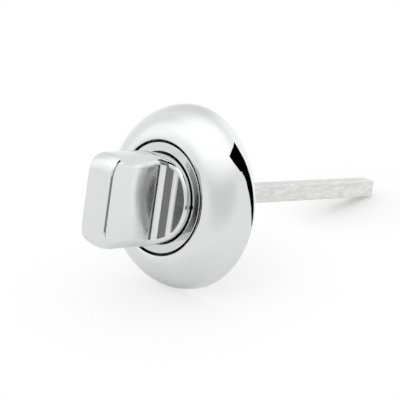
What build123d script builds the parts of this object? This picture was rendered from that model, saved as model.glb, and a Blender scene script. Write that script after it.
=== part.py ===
"""Thumbturn for a bathroom door: a turn knob in a domed rose, with a square spindle for the lock.

Millimetres. Each piece is made lying on its back: Z points out of the door, Y is up on the door, and z = 0 is
the door's face. stand_up then turns it so that the knob faces -Y, the spindle leaves along +Y and Z is up.
"""
import os

from build123d import *

# Rose cover
rose_diameter = 52.0
rose_height = 11.2
rose_opening = 32.1
cover_wall = 1.2
crown_fullness = 0.43
rim_fullness = 0.55
lip_depth = 3.0
lip_round = 0.5
thread_wall = 1.6
cover_shoulder = 0.4
cover_play = 0.1

# Mounting base
base_thickness = 3.0
hub_height = 6.5
clip_recess_depth = 3.2
fixing_spacing = 38.0
fixing_hole = 4.3
fixing_head = 8.4
fixing_boss = 10.4
head_angle = 90.0
pocket_depth = 1.5
pocket_wall = 2.0
rib_width = 1.6
ribs_per_turn = 8

# Bearing collar
collar_height = 10.9
collar_fall = 0.1
collar_gap = 0.9
collar_edge_round = 0.2
collar_bore_chamfer = 0.1
collar_seat_play = 0.05

# Turn knob
knob_diameter = 24.7
knob_reach = 34.6
foot_show = 2.0
foot_gap = 0.35
wing_swell = 0.8
swell_drop = 1.5
swell_length = 7.2
wing_thickness = 9.2
scoop_radius = 5.3
knob_corner_round = 4.5
wing_edge_round = 0.85
shank_diameter = 12.0
shank_recess = 0.4
socket_play = 0.1
socket_end_play = 0.2

# Bush, washers and circlip on the shank
bush_wall = 0.95
bush_flange = 0.8
bush_flange_diameter = 21.0
bush_press_play = 0.02
shank_play = 0.05
spring_height = 0.8
spring_thickness = 0.4
spring_outer_diameter = 19.2
spring_shank_gap = 0.3
spring_recess_gap = 0.9
washer_thickness = 0.5
washer_overhang = 0.2
washer_play = 0.1
running_gap = 0.05
clip_thickness = 0.7
clip_width = 2.4
clip_lug_diameter = 3.0
clip_lug_hole = 1.2
clip_opening = 3.0
clip_play = 0.02
groove_depth = 0.5
groove_side_play = 0.1

# Spindle and its set screw
spindle_size = 5.0
spindle_grip = 18.0
spindle_reach = 82.0
spindle_edge_round = 0.35
spindle_tip_chamfer = 0.5
screw_diameter = 3.0
screw_length = 3.0
screw_hex = 1.5
screw_hex_depth = 1.2
screw_play = 0.02

# Derived radii
rose_r = rose_diameter / 2
opening_r = rose_opening / 2
thread_r = rose_r - thread_wall
base_r = thread_r - cover_play
collar_outer_r = opening_r - collar_gap
foot_r = knob_diameter / 2
wing_r = foot_r + wing_swell
collar_bore_r = foot_r + foot_gap
hub_r = collar_bore_r - collar_seat_play
shank_r = shank_diameter / 2
bush_bore_r = shank_r + shank_play
bush_outer_r = bush_bore_r + bush_wall
groove_r = shank_r - groove_depth
spring_r = spring_outer_diameter / 2
washer_r = spring_r + washer_overhang
clip_recess_r = spring_r + spring_recess_gap

# Derived heights above the door, from the front of the hub to the end of the shank
knob_seat = hub_height + bush_flange
foot_front = collar_height + foot_show
spring_seat = clip_recess_depth
spring_back = spring_seat - spring_height
washer_front = spring_back - running_gap
washer_back = washer_front - washer_thickness
clip_back = washer_back - clip_thickness
shank_end = shank_recess
spindle_front = spindle_grip
screw_height = (clip_recess_depth + knob_seat) / 2


def stand_up(piece):
    """Turn a piece from its back to its place on an upright door."""
    return Rot(90, 0, 0) * piece


def turned(*outline):
    """Revolve a closed outline of (radius, height) edges about Z."""
    return revolve(Plane.XZ * make_face(outline), axis=Axis.Z)


def disc(radius, low, high):
    """Solid round disc between two heights."""
    return Pos(0, 0, low) * Cylinder(radius, high - low, align=(Align.CENTER, Align.CENTER, Align.MIN))


def ring(inner, outer, low, high):
    """Flat-ended ring between two heights."""
    return disc(outer, low, high) - disc(inner, low, high)


def dome(radius, height):
    """Solid dome: a wall upright at the rim that rolls over to a flat crown at the opening's radius."""
    crown = opening_r + crown_fullness * (radius - opening_r)
    curve = Bezier((radius, 0), (radius, rim_fullness * height), (crown, height), (opening_r, height))
    return turned(curve, Polyline((opening_r, height), (0, height), (0, 0), (radius, 0)))


def edges_at(piece, radius, height):
    """Circular edges of a turned piece at one radius and height."""
    def fits(edge):
        centre = edge.arc_center
        return abs(edge.radius - radius) < 1e-4 and abs(centre.Z - height) < 1e-4

    return piece.edges().filter_by(GeomType.CIRCLE).filter_by(fits)


def rose_cover():
    """Pressed dome, turned in at the opening, with a threaded land at the back that screws onto the base."""
    cavity = dome(rose_r - cover_wall, rose_height - cover_wall)
    cavity &= disc(thread_r - cover_shoulder, 0, rose_height)
    cavity += disc(thread_r, 0, base_thickness)
    lip = disc(opening_r + cover_wall, rose_height - lip_depth, rose_height - cover_wall)
    cover = dome(rose_r, rose_height) - (cavity - lip)
    cover -= disc(opening_r, 0, rose_height)
    return fillet(edges_at(cover, opening_r, rose_height), lip_round)


def bearing_collar():
    """Plated ring that stands on the base round its hub and shows between the cover and the knob."""
    edge_height = collar_height - collar_fall
    section = Polyline(
        (collar_bore_r, base_thickness),
        (collar_outer_r, base_thickness),
        (collar_outer_r, edge_height),
        (collar_bore_r, collar_height),
        close=True,
    )
    collar = turned(section)
    collar = fillet(edges_at(collar, collar_outer_r, edge_height), collar_edge_round)
    return chamfer(edges_at(collar, collar_bore_r, collar_height), collar_bore_chamfer)


def base_pockets():
    """Shallow pockets cored out of the base's back, between its rim, hub, ribs and fixing bosses."""
    field = Circle(base_r - pocket_wall) - Circle(hub_r)
    field -= PolarLocations(0, ribs_per_turn // 2) * Rectangle(2 * base_r, rib_width)
    field -= Locations((fixing_spacing / 2, 0), (-fixing_spacing / 2, 0)) * Circle(fixing_boss / 2)
    return extrude(field, pocket_depth)


def mounting_base():
    """Die-cast disc with a hub for the bush, two countersunk fixing holes and a recess for the circlip."""
    base = disc(base_r, 0, base_thickness) + disc(hub_r, 0, hub_height)
    base -= disc(bush_outer_r + bush_press_play, 0, hub_height)
    base -= disc(clip_recess_r, 0, clip_recess_depth)
    base -= base_pockets()
    for side in (-1, 1):
        hole = CounterSinkHole(fixing_hole / 2, fixing_head / 2, base_thickness, head_angle)
        base -= Pos(side * fixing_spacing / 2, 0, base_thickness) * hole
    return base


def shank_bush():
    """Nylon bush pressed into the hub, with a flange that the knob's foot runs on."""
    bush = ring(bush_bore_r, bush_outer_r, clip_recess_depth, knob_seat)
    return bush + ring(bush_bore_r, bush_flange_diameter / 2, hub_height, knob_seat)


def spring_washer():
    """Conical spring washer: its outer edge bears on the base, its inner edge on the thrust washer."""
    inner = shank_r + spring_shank_gap
    section = Polyline(
        (inner, spring_back),
        (spring_r, spring_seat - spring_thickness),
        (spring_r, spring_seat),
        (inner, spring_back + spring_thickness),
        close=True,
    )
    return turned(section)


def thrust_washer():
    """Plain washer between the spring washer and the circlip."""
    return ring(shank_r + washer_play, washer_r, washer_back, washer_front)


def circlip():
    """External retaining ring: an open ring with two lugs for the pliers."""
    inner = groove_r + clip_play
    outer = inner + clip_width
    lug_x = clip_opening / 2 + clip_lug_diameter / 2
    lug_y = (outer**2 - lug_x**2) ** 0.5
    profile = Circle(outer) - Pos(0, outer) * Rectangle(clip_opening, outer)
    for side in (-1, 1):
        profile += Pos(side * lug_x, lug_y) * Circle(clip_lug_diameter / 2)
        profile -= Pos(side * lug_x, lug_y) * Circle(clip_lug_hole / 2)
    profile -= Circle(inner)
    return Pos(0, 0, clip_back) * extrude(profile, clip_thickness)


def scoop():
    """Tool that cuts one side of the knob: a flat flank, a hollow at its root and the foot's flat face."""
    flank = wing_thickness / 2
    top = 2 * knob_reach
    side = knob_diameter
    hollow_top = (flank, foot_front + scoop_radius)
    hollow_end = (flank + scoop_radius, foot_front)
    hollow = TangentArc(hollow_top, hollow_end, tangent=(0, -1))
    outside = Polyline(hollow_end, (side, foot_front), (side, top), (flank, top), hollow_top)
    return extrude(Plane.XZ * make_face([hollow, outside]), side, both=True)


def knob_blank():
    """Round blank that swells from the foot to the wing's ends, with its front edge rounded."""
    low = foot_front - swell_drop
    third = swell_length / 3
    swell = Bezier((foot_r, low), (foot_r, low + third), (wing_r, low + 2 * third), (wing_r, low + swell_length))
    front = Polyline((wing_r, low + swell_length), (wing_r, knob_reach), (0, knob_reach))
    behind = Polyline((0, knob_reach), (0, knob_seat), (foot_r, knob_seat), (foot_r, low))
    blank = turned(swell, front, behind)
    return fillet(edges_at(blank, wing_r, knob_reach), knob_corner_round)


def turn_knob():
    """Casting: a round foot scooped into a flat wing, with a shank behind and a blind square socket."""
    blank = knob_blank()
    scoops = scoop() + mirror(scoop(), about=Plane.YZ)
    knob = blank - scoops
    knob = fillet(new_edges(blank, scoops, combined=knob), wing_edge_round)
    knob += disc(shank_r, shank_end, knob_seat)
    knob -= ring(groove_r, shank_r, clip_back, washer_back + groove_side_play)
    socket = spindle_size + 2 * socket_play
    knob -= square_bar(socket, shank_end, spindle_front + socket_end_play)
    screw_hole = Pos(0, 0, screw_height) * Rot(-90, 0, 0) * disc(screw_diameter / 2 + screw_play, 0, shank_r)
    return knob - screw_hole


def square_bar(size, low, high):
    """Square prism along Z between two heights."""
    return Pos(0, 0, low) * Box(size, size, high - low, align=(Align.CENTER, Align.CENTER, Align.MIN))


def spindle():
    """Square bar with rolled edges and a broken tip."""
    bar = square_bar(spindle_size, -spindle_reach, spindle_front)
    bar = chamfer(bar.faces().sort_by(Axis.Z)[0].edges(), spindle_tip_chamfer)
    return fillet(bar.edges().filter_by(Axis.Z), spindle_edge_round)


def grub_screw():
    """Set screw in the shank that bears on one flat of the spindle."""
    hexagon = RegularPolygon(screw_hex / 2, 6, major_radius=False)
    screw = disc(screw_diameter / 2, 0, screw_length)
    screw -= Pos(0, 0, screw_length - screw_hex_depth) * extrude(hexagon, screw_hex_depth)
    return Pos(0, spindle_size / 2, screw_height) * Rot(-90, 0, 0) * screw


pieces = {
    "rose_cover": rose_cover,
    "bearing_collar": bearing_collar,
    "mounting_base": mounting_base,
    "shank_bush": shank_bush,
    "spring_washer": spring_washer,
    "thrust_washer": thrust_washer,
    "circlip": circlip,
    "turn_knob": turn_knob,
    "spindle": spindle,
    "grub_screw": grub_screw,
}

os.makedirs("parts", exist_ok=True)
for name, make in pieces.items():
    export_step(stand_up(make()), f"parts/{name}.step")
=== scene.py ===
"""Look of the chrome thumbturn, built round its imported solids.

Sizes are millimetres until a mesh is made. A point of a turned piece is (radius, height), where height is
measured out of the door along -Y.
"""
import math

import bpy
import numpy as np
from mathutils import Matrix, Vector


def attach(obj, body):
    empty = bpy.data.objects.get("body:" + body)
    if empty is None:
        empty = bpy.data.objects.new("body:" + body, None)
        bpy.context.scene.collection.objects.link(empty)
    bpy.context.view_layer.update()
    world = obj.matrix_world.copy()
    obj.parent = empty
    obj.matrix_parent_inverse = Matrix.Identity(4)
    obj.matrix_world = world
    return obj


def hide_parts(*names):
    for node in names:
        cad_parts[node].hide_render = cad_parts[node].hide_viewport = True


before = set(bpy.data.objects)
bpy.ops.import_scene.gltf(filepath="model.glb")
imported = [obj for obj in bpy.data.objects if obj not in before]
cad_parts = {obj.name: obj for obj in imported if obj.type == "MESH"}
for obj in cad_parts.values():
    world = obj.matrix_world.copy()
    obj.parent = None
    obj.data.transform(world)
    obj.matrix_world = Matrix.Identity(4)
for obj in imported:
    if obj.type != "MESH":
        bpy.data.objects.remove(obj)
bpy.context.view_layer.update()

MM = 0.001

# Rose cover
rose_r = 26.0
rose_height = 11.2
opening_r = 16.05
cover_wall = 1.2
crown_fullness = 0.43
rim_fullness = 0.55
lip_depth = 3.0
lip_round = 0.5
thread_r = 24.4
cover_shoulder = 0.4
base_thickness = 3.0

# Bearing collar
collar_outer_r = 15.4
collar_bore_r = 12.92
collar_height = 10.9
collar_fall = 0.1
collar_edge_round = 0.2
collar_bore_chamfer = 0.1

# Turn knob
foot_r = 12.52
wing_r = 13.15
swell_low = 11.4
swell_length = 7.2
knob_reach = 34.6
knob_seat = 7.3
foot_front = 12.9
wing_half = 4.6
scoop_reach = 5.3
scoop_flat = 1.6
scoop_flat_turn = 22.4
corner_round = 4.5
front_edge_round = 0.65
edge_round = 1.1
edge_round_start = 1.0
edge_round_length = 5.0
end_extra_round = 1.3
end_round_length = 9.0
root_haze = 0.16
root_haze_top = 26.5
root_haze_full = 22.0
root_haze_out = 5.3
shank_r = 6.0
shank_end = 0.4
groove_r = 5.5
groove_low = 1.15
groove_high = 1.95
socket_half = 2.6
socket_end = 18.2

# Spindle, where the floor meets it
spindle_half = 2.5
spindle_reach = 82.0

# Mesh density
turned_columns = 256
side_steps = 4
dome_samples = 1200
dome_rings = 72
inner_dome_step = 24
rim_samples = 4001
rim_columns = 129
rim_bend_weight = 6.0
ray_samples = 1201
head_rings = 150
ring_bend_weight = 5.0

# Search for the knob's surface
halvings = 46
rim_level = 25.0
rim_limit = 20.0
trace_height = 10.0
trace_limit = 40.0

# Rings count as one where these rounded points of theirs agree
key_points = 8
key_digits = 5
point_size = 1e-6

# Range of the noise that is used, and how much finer and richer the noise of the roughness is
noise_low = 0.3
noise_high = 0.7
tone_low = 0.35
tone_high = 0.65
tone_detail = 3.0
metal_rough_finer = 2.3
metal_rough_detail = 5.0
plastic_rough_finer = 3.0


def right_of(points):
    """Unit normals on the right of a path of (radius, height) points."""
    along = np.gradient(np.asarray(points, float), axis=0)
    normals = np.stack([along[:, 1], -along[:, 0]], axis=1)
    return normals / np.linalg.norm(normals, axis=1, keepdims=True)


def line(start, end, steps=1):
    """Straight span of an outline, with its normals."""
    points = np.linspace(start, end, steps + 1)
    return points, right_of(points)


def arc(centre, radius, first, last, steps=16):
    """Circular span of an outline between two angles in degrees."""
    angle = np.radians(np.linspace(first, last, steps + 1))
    outward = np.stack([np.cos(angle), np.sin(angle)], axis=1)
    turn = 1.0 if last > first else -1.0
    return np.asarray(centre) + radius * outward, turn * outward


def dome_curve(radius, height):
    """Points of the dome's side: upright at the rim and level at the opening."""
    t = np.linspace(0.0, 1.0, dome_samples)[:, None]
    crown = opening_r + crown_fullness * (radius - opening_r)
    poles = np.array([(radius, 0), (radius, rim_fullness * height), (crown, height), (opening_r, height)])
    return (
        (1 - t) ** 3 * poles[0]
        + 3 * (1 - t) ** 2 * t * poles[1]
        + 3 * (1 - t) * t**2 * poles[2]
        + t**3 * poles[3]
    )


def skin(name, strips):
    """Closed mesh from strips of rings, each with its own points and normals of shape (rings, columns, 3).

    The last ring of a strip is the first of the next, and a ring whose points coincide closes to one point.
    """
    points, faces, normals = [], [], []
    known = {}

    def ring_ids(ring):
        key = tuple(np.round(ring[:: max(1, len(ring) // key_points)], key_digits).ravel())
        if key not in known:
            single = np.ptp(ring, axis=0).max() < point_size
            first = len(points)
            points.extend(ring[:1] if single else ring)
            known[key] = first + (np.zeros(len(ring), int) if single else np.arange(len(ring)))
        return known[key]

    for place, outward in strips:
        columns = place.shape[1]
        after = np.roll(np.arange(columns), -1)
        ids = [ring_ids(ring) for ring in place]
        side = np.cross(place[:-1, after] - place[:-1], place[1:] - place[:-1])
        flip = (side * (outward[:-1] + outward[1:])).sum() < 0
        for k in range(len(ids) - 1):
            low, high = ids[k], ids[k + 1]
            for j in range(columns):
                m = after[j]
                corners = [(low[j], k, j), (low[m], k, m), (high[m], k + 1, m), (high[j], k + 1, j)]
                if low[j] == low[m]:
                    corners.pop(1)
                elif high[j] == high[m]:
                    corners.pop(2)
                if flip:
                    corners.reverse()
                faces.append([c[0] for c in corners])
                normals.extend(outward[c[1], c[2]] for c in corners)
    mesh = bpy.data.meshes.new(name)
    mesh.from_pydata(np.asarray(points) * MM, [], faces)
    mesh.polygons.foreach_set("use_smooth", np.ones(len(faces), bool))
    mesh.normals_split_custom_set(np.asarray(normals).tolist())
    piece = bpy.data.objects.new(name, mesh)
    bpy.context.scene.collection.objects.link(piece)
    return piece


def revolved(spans, angles):
    """Strips of rings for spans of an outline, turned about the knob's axis."""
    def turned(flat):
        cos = np.cos(angles)[None, :]
        sin = np.sin(angles)[None, :]
        out = np.repeat(flat[:, 1:2], len(angles), axis=1)
        return np.stack([flat[:, :1] * cos, -out, flat[:, :1] * sin], axis=2)

    return [(turned(points), turned(outward)) for points, outward in spans]


def full_turn(columns):
    """Evenly spaced angles round the axis."""
    return np.arange(columns) * 2 * math.pi / columns


def rose_cover():
    """Pressed dome with its lip turned in at the opening."""
    outer = dome_curve(rose_r, rose_height)
    inset = outer - lip_round * right_of(outer)
    last = int(np.argmin(np.abs(inset[:, 0] - opening_r - lip_round)))
    centre = (opening_r + lip_round, inset[last, 1])
    meet = right_of(outer)[last]
    first_angle = math.degrees(math.atan2(meet[1], meet[0]))
    keep = np.unique(np.linspace(0, last, dome_rings).astype(int))
    inner = dome_curve(rose_r - cover_wall, rose_height - cover_wall)
    land = thread_r - cover_shoulder
    lip_r = opening_r + cover_wall
    inside = inner[(inner[:, 0] < land) & (inner[:, 0] > lip_r)][::-1][::inner_dome_step]
    low = rose_height - lip_depth
    spans = [
        (outer[keep], right_of(outer)[keep]),
        arc(centre, lip_round, first_angle, 180.0),
        line((opening_r, centre[1]), (opening_r, low), side_steps),
        line((opening_r, low), (lip_r, low)),
        line((lip_r, low), (lip_r, inside[0, 1])),
        (inside, right_of(inside)),
        line(inside[-1], (land, base_thickness)),
        line((land, base_thickness), (thread_r, base_thickness)),
        line((thread_r, base_thickness), (thread_r, 0)),
        line((thread_r, 0), (rose_r, 0)),
    ]
    return skin("rose_cover_shell", revolved(spans, full_turn(turned_columns)))


def bearing_collar():
    """Flat ring between the cover and the knob's foot."""
    edge = (collar_outer_r - collar_edge_round, collar_height - collar_fall - collar_edge_round)
    bore_top = (collar_bore_r, collar_height - collar_bore_chamfer)
    face_in = (collar_bore_r + collar_bore_chamfer, collar_height)
    spans = [
        line((collar_outer_r, base_thickness), (collar_outer_r, edge[1]), side_steps),
        arc(edge, collar_edge_round, 0.0, 90.0),
        line((edge[0], collar_height - collar_fall), face_in, side_steps),
        line(face_in, bore_top),
        line(bore_top, (collar_bore_r, base_thickness), side_steps),
        line((collar_bore_r, base_thickness), (collar_outer_r, base_thickness)),
    ]
    return skin("bearing_collar_ring", revolved(spans, full_turn(turned_columns)))


def rounded_meet(first, second, radius):
    """Distance to where two solids overlap, with their common edge rounded."""
    a = first + radius
    b = second + radius
    return np.minimum(np.maximum(a, b), 0.0) + np.hypot(np.maximum(a, 0.0), np.maximum(b, 0.0)) - radius


def ease(value):
    """Smooth step from 0 to 1."""
    t = np.clip(value, 0.0, 1.0)
    return t * t * (3 - 2 * t)


def blank_r(height):
    """Radius of the knob's blank, which swells from the foot to the wing's ends."""
    return foot_r + (wing_r - foot_r) * ease((height - swell_low) / swell_length)


def blank_parts(x, z, height):
    """Distances to the blank's side and to its front."""
    step = 1e-3
    lean = (blank_r(height + step) - blank_r(height - step)) / (2 * step)
    return (np.hypot(x, z) - blank_r(height)) / np.sqrt(1 + lean**2), height - knob_reach


def scoop_distance(x, height):
    """Distance to the flank, the hollow below it and the foot's face, seen along the wing.

    The hollow is two arcs of one radius with a flat strip between them.
    """
    across = np.abs(x)
    turn = math.radians(scoop_flat_turn)
    out = scoop_flat * math.sin(turn)
    down = scoop_flat * math.cos(turn)
    radius = scoop_reach - down
    upper_x = wing_half + radius
    upper_h = foot_front + scoop_reach
    along = ((across - upper_x) * out + (upper_h - height) * down) / scoop_flat**2
    along = np.clip(along, 0.0, 1.0)
    hollow = radius - np.hypot(upper_x + along * out - across, upper_h - along * down - height)
    flank = across - wing_half
    face = height - foot_front
    return np.where(height >= upper_h, flank, np.where(across >= upper_x + out, face, hollow))


def knob_distance(x, z, height):
    """Distance to the knob's head, less than zero inside. Its edge is rounder along the wing's ends."""
    side, front = blank_parts(x, z, height)
    blank = rounded_meet(side, front, corner_round)
    up = ease((height - foot_front) / end_round_length)
    down = ease((knob_reach - height) / end_round_length)
    back = ease((knob_reach - edge_round_start - height) / edge_round_length)
    radius = front_edge_round + (edge_round - front_edge_round) * back + end_extra_round * up * down
    return rounded_meet(blank, scoop_distance(x, height), radius)


def outward_of(x, z, height):
    """Unit normals of the knob's head, as (x, height, z)."""
    step = 1e-4
    slope = np.stack(
        [
            knob_distance(x + step, z, height) - knob_distance(x - step, z, height),
            knob_distance(x, z, height + step) - knob_distance(x, z, height - step),
            knob_distance(x, z + step, height) - knob_distance(x, z - step, height),
        ],
        axis=-1,
    )
    return slope / np.linalg.norm(slope, axis=-1, keepdims=True)


def last_inside(is_inside, shape, limit):
    """Largest lengths at which points still lie inside, found by halving."""
    low = np.zeros(shape)
    high = low + limit
    for _ in range(halvings):
        middle = (low + high) / 2
        inside = is_inside(middle)
        low = np.where(inside, middle, low)
        high = np.where(inside, high, middle)
    return low


def trace(angle, tilt):
    """Points (x, z, height) where rays from the axis leave the knob's head."""
    def point(length):
        out = length * np.cos(tilt)
        return out * np.cos(angle), out * np.sin(angle), trace_height + length * np.sin(tilt)

    shape = np.broadcast(angle, tilt).shape
    return point(last_inside(lambda length: knob_distance(*point(length)) < 0, shape, trace_limit))


def spread(path, count, bend_weight):
    """Positions along each path that share its length and its bends evenly, as fractional indices."""
    step = np.diff(path, axis=0)
    length = np.linalg.norm(step, axis=-1)
    unit = step / np.maximum(length, 1e-12)[..., None]
    bend = np.zeros_like(length)
    bend[1:] = np.arccos(np.clip((unit[1:] * unit[:-1]).sum(-1), -1, 1))
    share = np.cumsum(length + bend_weight * bend, axis=0)
    share = np.concatenate([np.zeros((1,) + share.shape[1:]), share])
    wanted = np.linspace(0.0, 1.0, count)
    return np.stack([np.interp(wanted * s[-1], s, np.arange(len(s))) for s in share.T], axis=1)


def knob_angles():
    """Angles round the axis of the knob's columns, closer together where the wing's outline bends."""
    quarter = np.linspace(0.0, math.pi / 2, rim_samples)
    cos = np.cos(quarter)
    sin = np.sin(quarter)
    level = np.array([rim_level])
    out = last_inside(lambda r: knob_distance(r * cos, r * sin, level) < 0, quarter.shape, rim_limit)
    rim = np.stack([out * cos, out * sin], axis=1)[:, None, :]
    where = spread(rim, rim_columns, rim_bend_weight)[:, 0]
    first = np.interp(where, np.arange(rim_samples), quarter)
    first[np.argmin(np.abs(first - math.pi / 4))] = math.pi / 4
    half = np.concatenate([first[:-1], math.pi - first[:0:-1]])
    return np.concatenate([half, half + math.pi])


def knob_head(angles):
    """Strip from the middle of the wing's front to the back edge of the foot."""
    seat_tilt = math.atan2(knob_seat - trace_height, foot_r)
    fine = np.linspace(math.pi / 2, seat_tilt, ray_samples)[:, None]
    x, z, height = trace(angles[None, :], np.repeat(fine, len(angles), axis=1))
    where = spread(np.stack([x, height, z], axis=-1), head_rings, ring_bend_weight)
    tilt = np.interp(where.ravel(), np.arange(ray_samples), fine[:, 0]).reshape(where.shape)
    tilt[-1] = seat_tilt
    x, z, height = trace(angles[None, :], tilt)
    x[0] = 0.0
    z[0] = 0.0
    height[0] = knob_reach
    height[-1] = knob_seat
    x[-1] = foot_r * np.cos(angles)
    z[-1] = foot_r * np.sin(angles)
    return np.stack([x, -height, z], axis=-1), outward_of(x, z, height) * (1, -1, 1)


def knob_shank(angles):
    """Strips of the foot's back and of the shank with its groove."""
    behind = [
        line((foot_r, knob_seat), (shank_r, knob_seat)),
        line((shank_r, knob_seat), (shank_r, groove_high)),
        line((shank_r, groove_high), (groove_r, groove_high)),
        line((groove_r, groove_high), (groove_r, groove_low)),
        line((groove_r, groove_low), (shank_r, groove_low)),
        line((shank_r, groove_low), (shank_r, shank_end)),
    ]
    return [(points, -outward) for points, outward in revolved(behind, angles)]


def knob_socket(angles, shank_ring):
    """Strips of the shank's end and of the square socket in it."""
    square = np.stack([np.cos(angles), np.zeros_like(angles), np.sin(angles)], axis=1)
    square *= socket_half / np.abs(square).max(axis=1, keepdims=True)
    mouth = square - (0, shank_end, 0)
    bottom = square - (0, socket_end, 0)
    centre = np.zeros_like(square) - (0, socket_end, 0)
    columns = np.arange(len(angles))
    side = np.argmax(np.abs(square), axis=1)
    inward = np.zeros_like(square)
    inward[columns, side] = -np.sign(square[columns, side])
    back = np.zeros_like(square) + (0, 1, 0)
    return [
        (np.stack([shank_ring, mouth]), np.stack([back, back])),
        (np.stack([mouth, bottom]), np.stack([inward, inward])),
        (np.stack([bottom, centre]), np.stack([back, back])),
    ]


def turn_knob():
    """Round foot hollowed into a flat wing, with a shank and a square socket behind."""
    angles = knob_angles()
    strips = [knob_head(angles)] + knob_shank(angles)
    shank_ring = strips[-1][0][-1]
    return skin("turn_knob_body", strips + knob_socket(angles, shank_ring))


def math_node(tree, operation, *values):
    """Math node whose inputs are sockets or numbers."""
    node = tree.nodes.new("ShaderNodeMath")
    node.operation = operation
    for socket, value in zip(node.inputs, values):
        if isinstance(value, (int, float)):
            socket.default_value = value
        else:
            tree.links.new(value, socket)
    return node.outputs[0]


def fade(tree, value, none, full):
    """Smooth step of a value: 0 at none, 1 at full."""
    step = tree.nodes.new("ShaderNodeMapRange")
    step.interpolation_type = "SMOOTHSTEP"
    step.inputs["From Min"].default_value = none
    step.inputs["From Max"].default_value = full
    tree.links.new(value, step.inputs["Value"])
    return step.outputs["Result"]


def mirrored_ray(tree, path):
    """Whether a ray comes from a mirror or through something clear."""
    return math_node(tree, "MAXIMUM", path.outputs["Is Glossy Ray"], path.outputs["Is Transmission Ray"])


def new_material(name):
    """Empty node material with its shader."""
    material = bpy.data.materials.new(name)
    material.use_nodes = True
    tree = material.node_tree
    return material, tree, tree.nodes["Principled BSDF"]


def noise(tree, scale, detail=tone_detail, drawn=1.0):
    """Noise in the piece's own coordinates, scale given per metre and drawn out along the spindle."""
    place = tree.nodes.new("ShaderNodeTexCoord")
    stretch = tree.nodes.new("ShaderNodeMapping")
    stretch.inputs["Scale"].default_value = (1, 1 / drawn, 1)
    texture = tree.nodes.new("ShaderNodeTexNoise")
    texture.inputs["Scale"].default_value = scale
    texture.inputs["Detail"].default_value = detail
    tree.links.new(place.outputs["Object"], stretch.inputs["Vector"])
    tree.links.new(stretch.outputs["Vector"], texture.inputs["Vector"])
    return texture.outputs["Fac"]


def between(tree, fac, low, high):
    """Noise value stretched to a range."""
    node = tree.nodes.new("ShaderNodeMapRange")
    node.inputs["From Min"].default_value = noise_low
    node.inputs["From Max"].default_value = noise_high
    node.inputs["To Min"].default_value = low
    node.inputs["To Max"].default_value = high
    tree.links.new(fac, node.inputs["Value"])
    return node.outputs["Result"]


def blend_colours(tree, fac, first, second):
    """Colour that wanders between two values with the noise."""
    ramp = tree.nodes.new("ShaderNodeValToRGB")
    ramp.color_ramp.elements[0].position = tone_low
    ramp.color_ramp.elements[1].position = tone_high
    ramp.color_ramp.elements[0].color = (*first, 1)
    ramp.color_ramp.elements[1].color = (*second, 1)
    tree.links.new(fac, ramp.inputs["Fac"])
    return ramp.outputs["Color"]


def metal(name, first, second, rough_low, rough_high, scale, drawn=1.0):
    """Metal whose tone and roughness wander a little."""
    material, tree, shader = new_material(name)
    shader.inputs["Metallic"].default_value = 1.0
    colour = blend_colours(tree, noise(tree, scale, tone_detail, drawn), first, second)
    tree.links.new(colour, shader.inputs["Base Color"])
    grain = noise(tree, scale * metal_rough_finer, metal_rough_detail, drawn)
    rough = between(tree, grain, rough_low, rough_high)
    tree.links.new(rough, shader.inputs["Roughness"])
    return material


def plastic(name, first, second, rough_low, rough_high, scale):
    """Plastic whose tone and roughness wander a little."""
    material, tree, shader = new_material(name)
    colour = blend_colours(tree, noise(tree, scale), first, second)
    tree.links.new(colour, shader.inputs["Base Color"])
    rough = between(tree, noise(tree, scale * plastic_rough_finer), rough_low, rough_high)
    tree.links.new(rough, shader.inputs["Roughness"])
    return material


def hazed_root(material):
    """Less polish where the flank meets the hollow, which a wheel hardly reaches."""
    tree = material.node_tree
    shader = tree.nodes["Principled BSDF"]
    polish = shader.inputs["Roughness"].links[0].from_socket
    place = tree.nodes.new("ShaderNodeTexCoord")
    apart = tree.nodes.new("ShaderNodeSeparateXYZ")
    tree.links.new(place.outputs["Object"], apart.inputs[0])
    across = math_node(tree, "ABSOLUTE", apart.outputs["X"])
    low = fade(tree, apart.outputs["Y"], -root_haze_top * MM, -root_haze_full * MM)
    near = fade(tree, across, root_haze_out * MM, wing_half * MM)
    haze = math_node(tree, "MULTIPLY", math_node(tree, "MULTIPLY", low, near), root_haze)
    tree.links.new(math_node(tree, "ADD", polish, haze), shader.inputs["Roughness"])


def put_on(piece, material):
    """Give a piece one material."""
    piece.data.materials.clear()
    piece.data.materials.append(material)


chrome = metal("polished_chrome", (0.715, 0.72, 0.725), (0.725, 0.725, 0.725), 0.015, 0.035, 160.0)
collar_chrome = metal("turned_chrome", (0.63, 0.635, 0.64), (0.66, 0.66, 0.665), 0.03, 0.06, 160.0)
knob_chrome = metal("polished_knob", (0.715, 0.72, 0.725), (0.725, 0.725, 0.725), 0.015, 0.035, 160.0)
hazed_root(knob_chrome)
zinc = metal("zinc_casting", (0.40, 0.41, 0.42), (0.52, 0.53, 0.54), 0.38, 0.55, 700.0)
galvanised = metal("galvanised_steel", (0.68, 0.68, 0.67), (0.86, 0.86, 0.85), 0.3, 0.5, 700.0)
drawn_bar = metal("drawn_bar", (0.61, 0.61, 0.605), (0.73, 0.73, 0.725), 0.3, 0.45, 1400.0, 4.0)
spring = metal("spring_steel", (0.20, 0.20, 0.21), (0.28, 0.28, 0.29), 0.3, 0.45, 500.0)
nylon = plastic("nylon", (0.72, 0.71, 0.67), (0.78, 0.77, 0.73), 0.35, 0.5, 300.0)

made = {
    "rose_cover": (rose_cover(), "rose", chrome),
    "bearing_collar": (bearing_collar(), "rose", collar_chrome),
    "turn_knob": (turn_knob(), "turn", knob_chrome),
}
for node, (piece, body, finish) in made.items():
    put_on(piece, finish)
    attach(piece, body)
    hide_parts(node)

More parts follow.
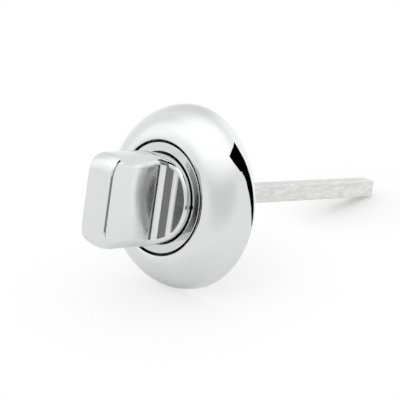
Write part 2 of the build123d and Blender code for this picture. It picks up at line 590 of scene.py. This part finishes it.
kept = {
    "mounting_base": zinc,
    "shank_bush": nylon,
    "spring_washer": spring,
    "circlip": spring,
    "grub_screw": spring,
    "thrust_washer": galvanised,
    "spindle": drawn_bar,
}
for node, material in kept.items():
    put_on(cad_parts[node], material)


def add_camera():
    """Camera at the photo's viewing angle."""
    focal_px = 1800.0
    frame_px = 400.0
    yaw, elevation, roll = np.radians([42.40, 10.62, 8.26])
    distance = 504.3
    shift = (-14.07, -3.71)
    out = np.array([
        math.sin(yaw) * math.cos(elevation),
        -math.cos(yaw) * math.cos(elevation),
        math.sin(elevation),
    ])
    right = np.cross(-out, (0, 0, 1))
    right /= np.linalg.norm(right)
    up = np.cross(right, -out)
    across = right * math.cos(roll) + up * math.sin(roll)
    upward = up * math.cos(roll) - right * math.sin(roll)
    aside = (upward * shift[1] - across * shift[0]) * distance / focal_px
    place = out * distance + aside
    data = bpy.data.cameras.new("camera")
    data.sensor_fit = "HORIZONTAL"
    data.sensor_width = 36.0
    data.lens = data.sensor_width * focal_px / frame_px
    data.clip_start = 0.01
    camera = bpy.data.objects.new("camera", data)
    turn = Matrix([
        (across[0], upward[0], out[0]),
        (across[1], upward[1], out[1]),
        (across[2], upward[2], out[2]),
    ])
    camera.matrix_world = Matrix.Translation(Vector(place * MM)) @ turn.to_4x4()
    bpy.context.scene.collection.objects.link(camera)
    bpy.context.scene.camera = camera


add_camera()

# Soft patches of the studio: azimuth, elevation, where they are full and where they end, and what they add
sky_patches = [
    (-82, 61, 2, 57, 0.46),
    (-142, 19, 13, 32, 0.17),
    (-146, 20, 9, 19, 0.09),
    (78, 24, 32, 52, 0.23),
    (138, 35, 2, 29, -0.13),
    (-52, 14, 2, 48, -0.18),
    (140, -46, 5, 40, -0.60),
]

# Cards round the object, as pairs of directions (azimuth, elevation) in degrees
wedge_edges = [
    ((55, 62), (57, 62)),
    ((33, 63.5), (51, 58)),
    ((-17, 56), (45, 52)),
    ((-9, 49), (43, 43)),
    ((7, 37), (40, 32)),
    ((15, 27), (40, 24)),
    ((21, 17.5), (40, 15)),
    ((26.5, 6.5), (40.5, 5.5)),
    ((33.5, -6), (43, -5)),
    ((45, -18), (47, -17)),
]
wedge_split = 4
line_edges = [
    ((12, 0), (30, 0)),
    ((7, -6), (33.5, -6)),
    ((6, -8), (34, -8)),
    ((6, -18), (36, -18)),
]
low_edges = [
    ((-65, -7.5), (-65, -13.5)),
    ((-40, -7.0), (-40, -13.5)),
    ((-22, -3.0), (-1, -13.5)),
    ((-14, 10.0), (-1, -8.0)),
    ((-8, 18.0), (1, 0.0)),
    ((0, 28.0), (11, 8.0)),
    ((9, 42.0), (22, 21.0)),
]
top_edges = [
    ((46, -4), (46, 48)),
    ((80, -8), (80, 62)),
    ((112, -8), (112, 62)),
    ((150, -8), (150, 50)),
]
late_edges = [
    ((-17, -60), (-17, 60)),
    ((15, -60), (15, 60)),
    ((38, -60), (38, 60)),
    ((60, -60), (60, 60)),
]

# Distances of the cards in metres
late_distance = 1.9
near_distance = 2.0
far_distance = 2.1

# Glossy Depth is 1 at the first mirror and 2 at the second
past_first_mirror = 1.5


def toward(azimuth, elevation):
    """Unit vector of a direction in degrees, azimuth from +X towards +Y."""
    a, e = np.radians([azimuth, elevation])
    return np.array([math.cos(e) * math.cos(a), math.cos(e) * math.sin(a), math.sin(e)])


def lobe(tree, direction, azimuth, elevation, full, none, amount):
    """Soft round patch of the sky: amount within full degrees of its centre, nothing beyond none."""
    dot = tree.nodes.new("ShaderNodeVectorMath")
    dot.operation = "DOT_PRODUCT"
    dot.inputs[1].default_value = toward(azimuth, elevation)
    tree.links.new(direction, dot.inputs[0])
    near = fade(tree, dot.outputs["Value"], math.cos(math.radians(none)), math.cos(math.radians(full)))
    return math_node(tree, "MULTIPLY", near, amount)


def sky_level(tree, direction):
    """Strength of the studio in a direction, as polished metal sees it."""
    level = 1.0
    for patch in sky_patches:
        level = math_node(tree, "ADD", level, lobe(tree, direction, *patch))
    return level


def studio_world():
    """White studio: plain for the camera and for matt surfaces, with soft patches for what is polished."""
    world = bpy.data.worlds.new("studio")
    bpy.context.scene.world = world
    world.use_nodes = True
    tree = world.node_tree
    place = tree.nodes.new("ShaderNodeTexCoord")
    level = sky_level(tree, place.outputs["Generated"])
    polished = mirrored_ray(tree, tree.nodes.new("ShaderNodeLightPath"))
    extra = math_node(tree, "MULTIPLY", math_node(tree, "SUBTRACT", level, 1.0), polished)
    background = tree.nodes["Background"]
    background.inputs["Color"].default_value = (1, 1, 1, 1)
    tree.links.new(math_node(tree, "ADD", 1.0, extra), background.inputs["Strength"])


def mirror_level(tree, first, later):
    """Level for a ray that comes straight from the first mirror, or from a later one."""
    path = tree.nodes.new("ShaderNodeLightPath")
    straight = math_node(tree, "LESS_THAN", path.outputs["Glossy Depth"], past_first_mirror)
    return math_node(tree, "MULTIPLY_ADD", straight, first - later, later)


def as_the_sky(tree, emission, share=1.0):
    """Make a card as bright as the studio behind it."""
    place = tree.nodes.new("ShaderNodeTexCoord")
    unit = tree.nodes.new("ShaderNodeVectorMath")
    unit.operation = "NORMALIZE"
    tree.links.new(place.outputs["Object"], unit.inputs[0])
    level = math_node(tree, "MULTIPLY", sky_level(tree, unit.outputs["Vector"]), share)
    tree.links.new(level, emission.inputs["Strength"])


def glow(name, see_through=False):
    """Material that only gives off light."""
    material, tree, shader = new_material(name)
    tree.nodes.remove(shader)
    emission = tree.nodes.new("ShaderNodeEmission")
    shown = emission.outputs[0]
    if see_through:
        clear = tree.nodes.new("ShaderNodeBsdfTransparent")
        both = tree.nodes.new("ShaderNodeAddShader")
        tree.links.new(emission.outputs[0], both.inputs[0])
        tree.links.new(clear.outputs[0], both.inputs[1])
        shown = both.outputs[0]
    tree.links.new(shown, tree.nodes["Material Output"].inputs["Surface"])
    return material, tree, emission


def card(name, edges, material, distance):
    """Strip on a sphere round the object, between pairs of directions. Only reflections show it."""
    points = [toward(*end) * distance for pair in edges for end in pair]
    faces = [(2 * k, 2 * k + 1, 2 * k + 3, 2 * k + 2) for k in range(len(edges) - 1)]
    mesh = bpy.data.meshes.new(name)
    mesh.from_pydata(points, [], faces)
    mesh.materials.append(material)
    sheet = bpy.data.objects.new(name, mesh)
    bpy.context.scene.collection.objects.link(sheet)
    sheet.visible_camera = False
    sheet.visible_diffuse = False
    sheet.visible_shadow = False
    return sheet


def only_for(light, name, pieces):
    """Let a card shine on some pieces only. The others see it dark, or see through it."""
    group = bpy.data.collections.new(name)
    for piece in pieces:
        group.objects.link(piece)
    light.light_linking.receiver_collection = group


def made_pieces(nodes):
    """Scene pieces that stand for some nodes."""
    return [made[node][0] for node in nodes]


def all_but(nodes):
    """Every piece of the part apart from those of some nodes."""
    pieces = [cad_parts[node] for node in kept if node not in nodes]
    return pieces + made_pieces(node for node in made if node not in nodes)


def late_card(name, edges, level, nodes, distance):
    """Card that adds light only where some pieces are themselves seen in a mirror."""
    late, tree, emission = glow(name, see_through=True)
    tree.links.new(mirror_level(tree, 0.0, level), emission.inputs["Strength"])
    only_for(card(name, edges, late, distance), name, made_pieces(nodes))


def flag(name, edges, dark_for, again=0.0):
    """Card that is black for some pieces, lit again by a second mirror. The others see the studio there."""
    white, tree, emission = glow(name + "_sky")
    as_the_sky(tree, emission)
    only_for(card(name + "_far", edges, white, far_distance), name + "_others", all_but(dark_for))
    if again:
        late_card(name + "_late", edges, again, dark_for, near_distance)


def knob_card(name, edges, direct, again, rose_again):
    """Card that only the knob sees, at one level straight away and at another by a second mirror."""
    white, tree, emission = glow(name + "_sky")
    as_the_sky(tree, emission, mirror_level(tree, 1.0, rose_again))
    grey, tree, emission = glow(name + "_level", see_through=True)
    tree.links.new(mirror_level(tree, direct, again), emission.inputs["Strength"])
    far = card(name + "_far", edges, white, far_distance)
    near = card(name + "_near", edges, grey, near_distance)
    only_for(far, name + "_others", all_but(["turn_knob"]))
    only_for(near, name + "_knob", made_pieces(["turn_knob"]))


studio_world()
flag("high_flag", wedge_edges[: wedge_split + 1], ["rose_cover", "turn_knob"])
flag("dome_flag", wedge_edges[wedge_split:], ["rose_cover"], 1.0)
flag("edge_flag", line_edges, ["turn_knob"])
knob_card("low_card", low_edges, 0.23, 0.02, 0.75)
knob_card("top_card", top_edges, 1.0, 1.0, 1.0)
late_card("dome_late", late_edges, 0.3, ["rose_cover"], late_distance)

# Floor: its size, how it fades out for the camera and in mirrors, and its shaded spots
floor_r = 400.0
floor_sides = 96
floor_fade = (390.0, 120.0)
mirror_fade = (75.0, 30.0)
mirror_fill = 0.5
under_spot = (-10.0, 18.0, 45.0, 15.0)
rim_spot = (0.0, 0.0, 60.0, 12.0)
rim_shade = 0.4
tip_fade = (38.0, 8.0)
tip_shade = 0.98


def add_floor():
    """Pale floor under the rose's rim and the spindle's tip, with a soft shadow where they touch it."""
    rise = math.atan2(rose_r - spindle_half, spindle_reach)
    tip = spindle_reach / math.cos(rise)
    angle = full_turn(floor_sides)
    ring = np.stack([np.cos(angle), np.sin(angle), np.zeros(floor_sides)], axis=1) * floor_r
    mesh = bpy.data.meshes.new("floor")
    mesh.from_pydata(ring * MM, [], [list(range(floor_sides))])
    material, tree, shader = new_material("pale_floor")
    shader.inputs["Roughness"].default_value = 1.0
    shader.inputs["Specular IOR Level"].default_value = 0.0
    place = tree.nodes.new("ShaderNodeTexCoord")

    def around(x, y, none, full):
        """Share that grows towards a spot of the floor."""
        apart = tree.nodes.new("ShaderNodeVectorMath")
        apart.operation = "DISTANCE"
        apart.inputs[1].default_value = (x * MM, y * MM, 0)
        tree.links.new(place.outputs["Object"], apart.inputs[0])
        return fade(tree, apart.outputs["Value"], none * MM, full * MM)

    rim = math_node(tree, "MULTIPLY", around(*rim_spot), rim_shade)
    end = math_node(tree, "MULTIPLY", around(0, tip, *tip_fade), tip_shade)
    path = tree.nodes.new("ShaderNodeLightPath")
    mirrored = mirrored_ray(tree, path)
    below = math_node(tree, "MULTIPLY", around(*under_spot), mirrored)
    shade = math_node(tree, "MAXIMUM", math_node(tree, "MAXIMUM", rim, end), below)
    fill = math_node(tree, "MULTIPLY", mirrored, mirror_fill)
    seen = math_node(tree, "MAXIMUM", path.outputs["Is Camera Ray"], fill)
    lift = math_node(tree, "MULTIPLY", seen, math_node(tree, "SUBTRACT", 1.0, shade))
    rest = tree.nodes.new("ShaderNodeCombineColor")
    for socket in rest.inputs:
        tree.links.new(math_node(tree, "SUBTRACT", 1.0, lift), socket)
    tree.links.new(rest.outputs["Color"], shader.inputs["Base Color"])
    shader.inputs["Emission Color"].default_value = (1, 1, 1, 1)
    tree.links.new(lift, shader.inputs["Emission Strength"])
    geometry = tree.nodes.new("ShaderNodeNewGeometry")
    front = math_node(tree, "SUBTRACT", 1.0, geometry.outputs["Backfacing"])
    reach = tree.nodes.new("ShaderNodeMix")
    tree.links.new(mirrored, reach.inputs["Factor"])
    tree.links.new(around(0, 0, *floor_fade), reach.inputs["A"])
    tree.links.new(around(0, 0, *mirror_fade), reach.inputs["B"])
    tree.links.new(math_node(tree, "MULTIPLY", reach.outputs["Result"], front), shader.inputs["Alpha"])
    mesh.materials.append(material)
    floor = bpy.data.objects.new("floor", mesh)
    floor.matrix_world = Matrix.Translation((0, 0, -rose_r * MM)) @ Matrix.Rotation(rise, 4, "X")
    bpy.context.scene.collection.objects.link(floor)


add_floor()

bpy.context.scene.view_settings.view_transform = "Standard"
